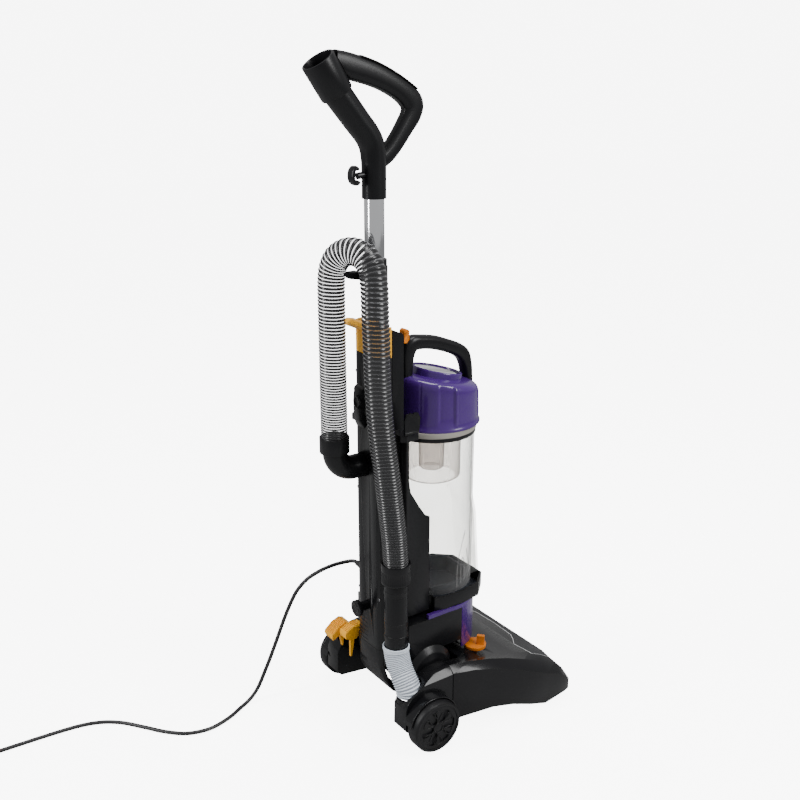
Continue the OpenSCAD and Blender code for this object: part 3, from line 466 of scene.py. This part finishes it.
def add_plug():
    """Tapered plug with a slim neck where the flex enters, and two blades."""
    lo, hi = corner("cord_plug"), corner("cord_plug", True)
    x, z = middle("cord_plug")[0], lo[2] + PLUG_AXIS
    rows = [(lo[1] - 0.006, 0.004, 0.004), (lo[1] + 0.004, 0.006, 0.005), (lo[1] + 0.012, 0.0075, 0.006),
            (lo[1] + 0.018, 0.0115, 0.0095), (lo[1] + 0.024, 0.0125, 0.0105), (hi[1] - 0.019, 0.0125, 0.0105),
            (hi[1] - 0.0172, 0.0115, 0.0098)]
    path = np.array([(x, y, z) for y, _, _ in rows])
    verts, faces = tube(path, lambda i: squircle(*rows[i][1:], 3.6), (0, 0, 1))
    body = make("plug_body", verts, faces, "cord_black", "head")
    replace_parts(body, "cord_plug")
    for letter, side in (("a", -1), ("b", 1)):
        path = np.array([(x + side * 0.0055, hi[1] - back, z) for back in (0.018, 0.003, 0.0005)])
        verts, faces = tube(path, lambda i: squircle(0.0009, 0.0018 if i == 2 else 0.003, 6, 24), (0, 0, 1))
        blade = make("plug_blade_" + letter, verts, faces, "plain_steel", "head")
        blade.parent = body
        blade.matrix_parent_inverse = body.matrix_world.inverted()
    return body


def add_tie():
    """Soft band round one side of the coil, its underside on the floor."""
    out = np.array((math.cos(TIE_ANGLE), math.sin(TIE_ANGLE), 0))
    side = np.array((-out[1], out[0], 0)) * TIE_WIDTH / 2
    loop = squircle(TIE_HALF, TIE_HALF, 2 / 0.55)
    verts = []
    for w, h in loop:
        p = middle("cord_coil") + out * (COIL_R + w) + (0, 0, h)
        p[2] = max(p[2], 0.0008)
        verts += [p - side, p + side]
    n = len(verts)
    faces = [(k, k + 1, (k + 3) % n, (k + 2) % n) for k in range(0, n, 2)]
    ob = make("coil_tie", verts, faces, "soft_grip", "head")
    ob.modifiers.new("thick", "SOLIDIFY").thickness = TIE_THICK
    return ob


def add_cord():
    path = cord_path()
    verts, faces = tube(path, lambda i: circle(CORD_D / 2, 10), (0.02, 0.03, 1))
    flex = make("power_flex", verts, faces, "cord_black", None)
    plug, tie = add_plug(), add_tie()
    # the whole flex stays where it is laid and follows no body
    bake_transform(flex)
    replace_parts(flex, "power_cord", "cord_coil")


# ---------------------------------------------------------------- ribbed hoses
HOSE = np.array([
    (-66, 103.5, 298), (-66, 104.5, 326), (-66, 107, 360), (-65.5, 111, 396), (-64, 115, 436),
    (-62, 119, 478), (-59, 122.5, 516), (-56, 125, 552), (-53.5, 127, 594), (-51.5, 128, 640),
    (-51, 129, 688), (-51.5, 131, 724), (-52, 132, 756), (-51, 132.5, 776), (-48, 133.5, 793),
    (-41, 137, 808), (-31, 142.5, 817), (-19.5, 149.5, 820), (-8, 156.5, 817), (2.5, 162.5, 808),
    (9, 166, 794), (11.5, 167.5, 778), (12, 168, 756), (12, 168, 716), (12, 168, 676), (12, 168, 636),
    (12, 168, 596), (12, 168, 556), (12, 168, 526), (12, 168, 508)]) * MM
HOSE_D = 0.043
# Pitch of the wire in mm against the share of the hose's length: tight at both ends, open over the bend.
HOSE_PITCH = [(0, 4.4), (0.15, 4.9), (0.3, 6.2), (0.42, 6.9), (0.54, 7.0), (0.6, 6.0), (0.68, 5.6),
              (0.78, 5.25), (0.88, 4.4), (1, 3.75)]
DUCT = np.array([
    (-66, 104, 167), (-66, 104, 158), (-68.5, 104, 147), (-73, 104, 136), (-80, 104, 125),
    (-88.5, 104, 115), (-95.5, 103, 105), (-98.7, 102, 97), (-99, 102, 88)]) * MM
DUCT_D = 0.0425
DUCT_PITCH = [(0, 3.6), (1, 3.6)]
ROWS, SIDES = 8, 40     # rows of the mesh for each turn, and vertices round the hose


def ribbed_hose(name, points, diameter, pitch, depth, mats, crest, body, helix):
    """Hose whose wall rises and falls with each turn of the wire. Each row of the mesh follows the wire,
    so the crest, a share of each turn, stays one clean line of its own material."""
    path = spline(points, 12)
    s = np.concatenate([[0], np.cumsum(np.linalg.norm(np.diff(path, axis=0), axis=1))])
    grid = np.linspace(0, s[-1], 4000)
    local = np.interp(grid / s[-1], [share for share, _ in pitch], [gap * MM for _, gap in pitch])
    phase = np.concatenate([[0], np.cumsum(0.5 * (1 / local[1:] + 1 / local[:-1]) * np.diff(grid))])
    sides = np.stack(across(path, (0, 1, 0)))
    climb = 1 if helix else 0       # a winding row ends one pitch further on, where the next turn starts
    rows = (int(phase[-1]) - climb) * ROWS + 1
    cols = SIDES + climb
    ang = np.arange(cols) * 2 * math.pi / SIDES
    verts, faces, kind = [], [], []
    for i in range(rows):
        wave = math.cos(2 * math.pi * (i % ROWS) / ROWS)
        r = diameter / 2 - depth * (0.5 - 0.5 * math.copysign(abs(wave) ** 0.8, wave))
        at = np.interp(i / ROWS + climb * ang / (2 * math.pi), phase, grid)
        mid, u, v = (np.stack([np.interp(at, s, way[:, k]) for k in range(3)], 1) for way in (path, *sides))
        verts.extend(mid + (r * np.cos(ang))[:, None] * u + (r * np.sin(ang))[:, None] * v)
    for i in range(rows - 1):
        f = (i % ROWS + 0.5) / ROWS
        for k in range(SIDES):
            a, b = i * cols + k, i * cols + (k + 1) % cols
            faces.append((a, b, b + cols, a + cols))
            kind.append(1 if min(f, 1 - f) < crest / 2 else 0)
    ob = make(name, verts, faces, mats, body, angle=180)
    ob.data.polygons.foreach_set("material_index", kind)
    line = np.stack([np.interp(np.linspace(0, s[-1], 240), s, path[:, k]) for k in range(3)], 1)
    return ob, line


def add_suction_hose():
    hose, line = ribbed_hose("suction_hose_ribbed", HOSE, HOSE_D - 0.0006, HOSE_PITCH, 0.0014,
                             ["smoke_hose", "wire_black"], 0.76, "upright", helix=True)
    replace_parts(hose, "suction_hose")


def add_duct_hose():
    # the trough rows take the darker grey as painted shade between the ribs, and the crests keep the white
    hose, _ = ribbed_hose("duct_hose_ribbed", DUCT, DUCT_D, DUCT_PITCH, 0.0016,
                          ["painted_groove_shade", "white_hose"], 0.6, None, helix=False)
    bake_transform(hose)
    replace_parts(hose, "duct_hose")


def add_duct_rings():
    """Heavier rings where the white hose grips the pipe."""
    profile = [(20.6, 0), (22.3, 0.4), (22.6, 1.6), (22.3, 2.8), (20.6, 3.2)]
    top = DUCT[1] / MM
    parts = [turned(profile, top + (0, 0, rise), top + (0, 0, rise + 3)) for rise in (1.5, 5.6)]
    make("duct_rings", *joined(parts), "white_hose", "upright")


def add_cuff():
    """Hose cuff with a plain lip and a fluted grip below it."""
    rows = [(20.2, 282.2), (23.2, 282.2), (24.2, 283.4), (24.5, 286), (24.5, 287), (24.5, 305), (24.5, 306),
            (24.6, 307.5), (24.6, 316.4), (24.2, 317.7), (22.6, 318), (22, 317.4), (21.9, 300)]
    grip_low, grip_high, flutes, flute_depth = 286.5, 305.5, 48, 0.75
    c = middle("hose_cuff")
    n = flutes * 4
    verts = []
    for r, z in rows:
        depth = flute_depth if grip_low < z < grip_high else 0.0
        for k in range(n):
            a = 2 * math.pi * k / n
            rr = (r - depth * (0.5 - 0.5 * math.cos(flutes * a)) ** 0.7) * MM
            verts.append((c[0] + rr * math.cos(a), c[1] + rr * math.sin(a), z * MM))
    ob = make("cuff_fluted", verts, ring_faces(len(rows), n), "black_shell", "upright", angle=60)
    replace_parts(ob, "hose_cuff")


# ---------------------------------------------------------------- handle and grips
LOOP = [(0, 165, 1085, 17, 12), (0, 138, 1079, 18.5, 12.4), (0, 100, 1069, 17.5, 12.6),
        (0, 70, 1057, 16.5, 12.6), (0, 45, 1043, 16.5, 12.4), (0, 29, 1028, 18.5, 12),
        (0, 30, 1012, 16.5, 11.6), (0, 42, 994, 14.5, 11.2), (0, 56, 975, 13.6, 11),
        (0, 72, 957, 13, 11), (0, 88, 945, 12, 11)]
LOOP_PER = 6
# The open socket's line, and how far above it the loop keeps clear so that the bore stays open.
SOCKET_FOOT = np.array((0, 0.161, 1.045))
SOCKET_WAY, SOCKET_UP = np.array((0, 0.563, 0.827)), np.array((0, -0.827, 0.563))
SOCKET_CLEAR = 0.0232


def add_handle():
    """Collar, bent neck, open socket, hand loop and the small hook, as one smooth moulding."""
    neck = bar([(0, 97, 892, 18.5, 18.5), (0, 97, 900, 18.5, 18.5), (0, 97, 930, 18.6, 18.6),
                (0, 97.6, 950, 18.9, 18.9), (0, 101, 970, 19.4, 19.4), (0, 110, 986, 19.7, 19.7),
                (0, 124, 1002, 20, 20), (0, 142, 1023, 20.5, 20.5), (0, 160, 1044, 21, 21)], power=2, n=48)
    socket = turned([(0, 1), (22.6, 1), (23.9, 1.6), (24.5, 3.2), (25.3, 54.4), (24.9, 56.3), (23.2, 56.9),
                     (22.1, 56.4), (21.6, 55), (21.6, 16), (0, 16)], (0, 158, 1041), (0, 190, 1088))
    loop, loop_faces = bar(LOOP, power=2.7, per=LOOP_PER)
    for i, p in enumerate(loop):
        above = (p - SOCKET_FOOT) @ SOCKET_UP
        if (p - SOCKET_FOOT) @ SOCKET_WAY > -0.005 and above < SOCKET_CLEAR:
            loop[i] = p + SOCKET_UP * (SOCKET_CLEAR - above)
    stem = bar([(0, 110, 927, 5, 5), (0, 118, 927, 5, 5), (0, 127, 926, 5, 5)], power=2, n=24)
    hook = bar([(0, 126, 918, 3, 8), (0, 130, 915.5, 3.2, 9), (0, 135, 918.5, 3.2, 9), (0, 137, 926, 3.2, 9),
                (0, 135.6, 934, 3.2, 9), (0, 131.5, 938.5, 3, 9), (0, 127.5, 936, 2.6, 8)], power=2.4, n=24)
    parts = [neck, socket, (loop, loop_faces), stem, hook]
    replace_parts(make("handle_smooth", *joined(parts), "black_shell", "wand"), "handle_body")


def add_grip():
    """Soft pad let into the inner side of the loop, over its upper stretch."""
    p = spline(np.array(LOOP, float) * MM, LOOP_PER)
    u, _ = across(p[:, :3], (1, 0, 0))
    part = slice(8, 28)
    line = p[part, :3] + u[part] * (p[part, 3:4] - 0.0009)
    verts, faces = tube(line, lambda i: squircle(0.0016, 0.0106, 3), (1, 0, 0))
    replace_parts(make("grip_smooth", verts, faces, "soft_grip", "wand"), "grip_pad")


def add_carry_handle():
    rows = [(40, 588, 9.5), (39.5, 602, 9.5), (39, 622, 10.5), (37, 642, 12), (28, 657, 13), (8, 657.5, 11.5),
            (-18, 652.5, 11.5), (-45, 643, 11.2), (-64, 634.5, 11.5), (-77, 624, 11.5), (-83.5, 608, 9.5),
            (-86.5, 590, 8), (-89, 565, 6)]
    half_width = 12.4
    verts, faces = bar([(0, y, z, half, half_width) for y, z, half in rows], power=3.0)
    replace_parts(make("carry_smooth", verts, faces, "black_shell", "bin"), "carry_handle")


# ---------------------------------------------------------------- bin
CAP_TILT = math.radians(13)


def apart(a, b):
    """Angle between two directions, in degrees."""
    return abs((a - b + 180) % 360 - 180)


def add_cap():
    """Purple cap: upright panels, a sunk pocket and one proud rib on each side, and the tilted filter rim."""
    rows = [(70.2, 520.4), (75.6, 520.4), (76, 521), (76, 522.6), (74.6, 525), (73.4, 528), (73.2, 532),
            (73, 536), (72.8, 545), (72.5, 556), (72.3, 566), (72.1, 573), (72, 580), (71.6, 586),
            (70, 590.6), (66.8, 593.6), (62, 595.4), (54, 597), (44, 598), (20, 598)]
    # angles in degrees: fine seams between panels, sunk pockets, and proud ribs
    seams = (-40.8, 10.2, 31.2, 55.2, 79.2, 100.8, 124.8, 148.8, 169.8, 220.8)
    pockets, ribs = (20.7, 159.3), (-42.5, 7.5, 172.5, 222.5)
    seam_depth, pocket_depth, rib_height = 0.7, 2.0, 1.5
    seam_half, pocket_half, rib_half = 1.1, 10.5, 2.4
    side_low, side_high, lean_low, lean_over = 530, 594, 556, 36
    cy = middle("bin_jar")[1]
    n = 360
    verts = []
    for r, z in rows:
        side = ramp(z - side_low, 5) * ramp(side_high - z, 6)
        for k in range(n):
            a = k - 90.0
            rr = r
            for at in seams:
                rr -= seam_depth * side * max(0.0, 1 - apart(a, at) / seam_half)
            for at in pockets:
                rr -= pocket_depth * side * ramp(pocket_half - apart(a, at), 1.6)
            for at in ribs:
                rr += rib_height * side * ramp(rib_half - apart(a, at), 1.2)
            t = math.radians(a)
            lean = ramp(z - lean_low, lean_over) * rr * math.sin(t) * math.tan(CAP_TILT) * 0.85
            verts.append((rr * MM * math.cos(t), cy + rr * MM * math.sin(t), (z + lean) * MM))
    foot = np.array((0, cy / MM - 1, side_high))
    top = foot + (0, -10 * math.sin(CAP_TILT), 10 * math.cos(CAP_TILT))
    rim = turned([(43.6, -3), (43.4, 4), (43.2, 11), (42.8, 13.4), (41.8, 14.2), (40.4, 14), (39.6, 12.6),
                  (39.2, 8), (39, -1)], foot, top, 96)
    parts = [(verts, ring_faces(len(rows), n)), rim]
    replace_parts(make("cap_ribbed", *joined(parts), "purple_plastic", "bin", angle=50), "bin_cap")


def add_shroud():
    """Cloudy cyclone cup with a column in its middle, each one thin wall in the same cloudy grey."""
    x, y = middle("cyclone_shroud")[:2] / MM
    lo, hi = corner("cyclone_shroud")[2] / MM, corner("cyclone_shroud", True)[2] / MM
    tall = hi - lo
    cup = [(40, 0.4), (45, 0.4), (48, 2.4), (49, 5), (49, tall - 4), (51.8, tall - 3.4), (51.8, tall)]
    column = [(0, 14), (19, 14), (21, 16), (22.5, tall - 6)]
    parts = [turned(rows, (x, y, lo), (x, y, hi), 96) for rows in (cup, column)]
    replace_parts(make("shroud_cup", *joined(parts), "smoke_grey", "bin"), "cyclone_shroud")


def add_jar_ribs():
    """Moulded spout lines on the lower near side of the jar, as angles in degrees and heights in mm."""
    lines = [[(183, 236), (183, 262), (186, 290), (193, 318), (199, 336)],
             [(190, 240), (190, 266), (190.5, 280), (194, 288), (197.5, 280), (198, 266), (198, 244)],
             [(203, 300), (208, 278), (213, 258), (219, 240)]]
    jar_r, thick = 70.3, 0.9
    x, y = middle("cyclone_shroud")[:2] / MM
    parts = []
    for line in lines:
        turn = [(math.radians(a), z) for a, z in line]
        rows = [(x + jar_r * math.cos(a), y + jar_r * math.sin(a), z, thick, thick) for a, z in turn]
        parts.append(bar(rows, (1, 0.2, 0), 2, 5, 12))
    make("jar_ribs", *joined(parts), "clear_rib", "bin")


# ---------------------------------------------------------------- spine and head
def add_pipe_clips():
    """Two thin bands round the lower pipe, each with its arm to the spine."""
    x, y = middle("lower_pipe")[:2] / MM
    parts = []
    for z in (205, 262):
        parts.append(turned([(19.3, 0), (20.1, 0.6), (20.1, 7.4), (19.3, 8)], (x, y, z), (x, y, z + 8)))
        arm = [(arm_x, 100, z + 4, 3.8, 2.8) for arm_x in (-50, -46, -42)]
        parts.append(bar(arm, (0, 0.1, 1), 5, 2, 24))
    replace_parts(make("pipe_bands", *joined(parts), "black_shell", "upright"), "pipe_clips")


def add_spine_grooves():
    """Fine beads round the lower back of the spine."""
    half, back = corner("spine_back", True)[:2] / MM
    r, thick = 22.0, 0.5
    turn = [(half - r + r * math.cos(a), back - r + r * math.sin(a)) for a in np.radians(range(8, 91, 9))]
    way = turn + [(14, back), (8, back), (2, back)]
    parts = [bar([(x, y, z, thick, thick) for x, y in way], (0, 0, 1), 2, 2, 10) for z in range(146, 190, 8)]
    make("spine_grooves", *joined(parts), "black_shell", "upright")


def add_knob(name, centre, body):
    """Four-lobed cap on the end of a cord post, facing back."""
    rows = [(0, -3), (9.5, -3), (11.4, -2), (12, -0.4), (11.4, 1.6), (9, 2.6), (5.5, 1.4), (3, 1.2), (0, 1.2)]
    lobes, lobe_share = 4, 0.1
    n = 96
    verts = []
    for r, d in rows:
        for k in range(n):
            a = 2 * math.pi * k / n
            rr = r * (1 - lobe_share + lobe_share * math.cos(lobes * a)) * MM
            verts.append((centre[0] + rr * math.cos(a), centre[1] + d * MM, centre[2] + rr * math.sin(a)))
    make(name, verts, ring_faces(len(rows), n), "black_shell", body)


def add_wheel_rims():
    """Raised beads round the six sunk petals and the middle of each wheel."""
    face_x, petals, petal_mid, petal_half, hub_r = 0.1526, 6, 0.0228, 0.0092, 0.009
    steps = np.arange(32) * 2 * math.pi / 32
    for name, side in (("right", -1), ("left", 1)):
        _, y, z = middle("tyre_" + name)
        parts = []
        for k in range(petals):
            a = 2 * math.pi * (k + 0.5) / petals
            ring = []
            for t in steps:
                r = petal_mid + petal_half * math.cos(t)
                w = a + 1.35 * math.sin(t) * (0.19 + 0.11 * math.cos(t))
                ring.append((side * face_x, y + r * math.cos(w), z + r * math.sin(w)))
            parts.append(bead(ring, 0.0009))
        hub = [(side * face_x, y + hub_r * math.cos(t), z + hub_r * math.sin(t)) for t in steps]
        parts.append(bead(hub, 0.001))
        make("petal_rims_" + name, *joined(parts), "black_shell", name + "_wheel")


def add_fenders():
    """Lip over the top of each wheel, with a rolled edge."""
    lip_r, lip_x, edge_x = 47.9, 131, 141
    angles = np.radians(np.linspace(12, 172, 15))
    for name, side in (("right", -1), ("left", 1)):
        _, y, z = middle("tyre_" + name) / MM
        arc = [(y + lip_r * math.cos(a), z + lip_r * math.sin(a)) for a in angles]
        lip = bar([(side * lip_x, *at, 0.8, 10) for at in arc], power=5, per=3, n=24)
        edge = bar([(side * edge_x, *at, 1.3, 1.3) for at in arc], power=2, per=3, n=16)
        make("fender_" + name, *joined([lip, edge]), "hood_gloss", "head")


# ---------------------------------------------------------------- CAD nodes that stay
REPLACED = ("power_cord", "cord_coil", "cord_plug", "suction_hose", "duct_hose", "handle_body", "grip_pad",
            "carry_handle", "bin_cap", "hose_cuff", "cyclone_shroud", "pipe_clips")
SOFT_EDGE = 0.6       # mm, and the nodes with another one
OTHER_EDGE = {"trim_line": 0, "head_cover": 1.6, "bin_ring": 1.0, "spine_front": 1.0, "spine_back": 1.0,
              "base_block": 1.2}


def finish_node(node, width):
    """Gives a CAD node its material and softens its hard edges by width mm."""
    ob = NODES[node]
    slot = next(s["material_slot"] for s in frame["record"]["subparts"] if s["node"] == node)
    ob.data.materials.clear()
    ob.data.materials.append(MAT[slot])
    if width:
        ob.data.polygons.foreach_set("use_smooth", [True] * len(ob.data.polygons))
        weld = ob.modifiers.new("weld", "WELD")
        weld.merge_threshold = 1e-5
        bevel = ob.modifiers.new("bevel", "BEVEL")
        bevel.width, bevel.segments, bevel.limit_method = width * MM, 3, "ANGLE"
        bevel.angle_limit = math.radians(32)
        bevel.harden_normals = True
        bevel.miter_outer = "MITER_ARC"


add_cord()
add_suction_hose()
add_duct_hose()
add_handle()
add_grip()
add_carry_handle()
add_cap()
add_cuff()
add_wheel_rims()
add_shroud()
add_jar_ribs()
add_pipe_clips()
add_duct_rings()
add_fenders()
add_spine_grooves()
post_x, post_end, post_z = middle("cord_post")[0], corner("cord_post", True)[1], middle("cord_post")[2]
add_knob("post_knob", (post_x, post_end - 0.0015, post_z), "upright")
add_knob("hook_knob", (0.0, corner("cord_hook", True)[1] - 0.001, 0.578), "hook")
for name in NODES:
    if name not in REPLACED:
        finish_node(name, OTHER_EDGE.get(name, SOFT_EDGE))
